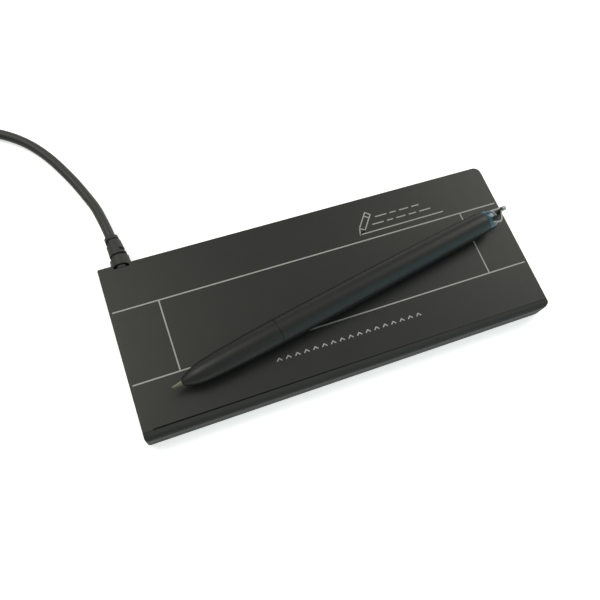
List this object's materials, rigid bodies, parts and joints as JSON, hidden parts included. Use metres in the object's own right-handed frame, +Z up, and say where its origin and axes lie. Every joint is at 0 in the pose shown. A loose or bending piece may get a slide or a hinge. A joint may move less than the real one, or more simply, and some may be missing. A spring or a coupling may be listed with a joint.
{
  "type": "signature pad",
  "caption": "Slim desktop signature pad with a touch overlay, a USB lead in a moulded strain relief, and a loose passive pen with a wire tether ring.",
  "frame": {"origin": "bottom centre of the pad and pen taken together, on the plane the feet stand on; the free cable and what is on it are left out", "axes": "+X along the pad's length, towards the end where the pen's ring lies; +Y to the back edge where the cable leaves; +Z up, out of the writing surface"},
  "size_m": [0.2721, 0.1537, 0.0205],
  "materials": {
    "case_plastic": "fine moulded texture, dark grey",
    "overlay_film": "fine velvet-textured printed sheet, dark grey",
    "clear_film": "clear coated film",
    "spacer_tape": "double-sided tape",
    "sensor_glass": "coated float glass",
    "foam": "closed-cell foam",
    "steel_plate": "zinc-plated sheet",
    "screw_steel": "plated steel",
    "rubber": "soft matt rubber",
    "label": "bare polyester label",
    "circuit_board": "solder mask over glass epoxy",
    "chip_resin": "moulded resin",
    "ceramic": "fired ceramic",
    "connector": "moulded nylon",
    "flex_film": "polyimide film",
    "cable_jacket": "soft vinyl, satin, dark grey",
    "core_red": "vinyl insulation",
    "core_white": "vinyl insulation",
    "core_green": "vinyl insulation",
    "core_black": "vinyl insulation",
    "hook_strap": "woven hook-and-loop strap",
    "plug_metal": "nickel-plated steel",
    "contact_gold": "gold-flashed contacts",
    "pen_plastic": "satin moulded plastic, near black",
    "pen_point": "turned, dull nickel tone",
    "rod_plastic": "drawn plastic tube, bare",
    "ring_wire": "bright bent wire"
  },
  "bodies": {
    "pad": {"base_cover": "case_plastic", "top_cover": "case_plastic", "graphic_overlay": "overlay_film", "touch_film": "clear_film", "film_spacer": "spacer_tape", "sensor_glass": "sensor_glass", "foam_pad": "foam", "weight_plate": "steel_plate", "flex_tail": "flex_film", "flex_connector": "connector", "controller_board": "circuit_board", "controller_chip": "chip_resin", "clock_crystal": "screw_steel", "chip_capacitor_1": "ceramic", "chip_capacitor_2": "ceramic", "chip_capacitor_3": "ceramic", "chip_capacitor_4": "ceramic", "cable_header": "connector", "header_plug": "connector", "cable_core_1": "core_red", "cable_core_2": "core_white", "cable_core_3": "core_green", "cable_core_4": "core_black", "case_screw_1": "screw_steel", "case_screw_2": "screw_steel", "case_screw_3": "screw_steel", "case_screw_4": "screw_steel", "board_screw_1": "screw_steel", "board_screw_2": "screw_steel", "foot_front_left": "rubber", "foot_front_right": "rubber", "foot_back_left": "rubber", "foot_back_right": "rubber", "base_label": "label", "strain_relief": "cable_jacket", "cable_run": "cable_jacket", "cable_coil": "cable_jacket", "cable_tail": "cable_jacket", "coil_tie": "hook_strap", "plug_body": "cable_jacket", "plug_shell": "plug_metal", "plug_tongue": "connector", "plug_contact_1": "contact_gold", "plug_contact_2": "contact_gold", "plug_contact_3": "contact_gold", "plug_contact_4": "contact_gold"},
    "pen": {"pen_point": "pen_point", "pen_front_section": "pen_plastic", "pen_barrel": "pen_plastic", "stylus_rod": "rod_plastic", "pen_tail_cap": "pen_plastic"},
    "ring": {"tether_ring": "ring_wire", "ring_ferrule": "ring_wire"}
  },
  "joints": [
    {"name": "pen_lift", "type": "slide", "parent": "pad", "child": "pen", "axis": [0, 0, 1], "range_m": [0, 0.15]},
    {"name": "ring_swing", "type": "hinge", "parent": "pen", "child": "ring", "pos_m": [0.07108, 0.00687, 0.0154], "axis": [0.186, -0.9825, 0], "range_deg": [0, 120]}
  ]
}
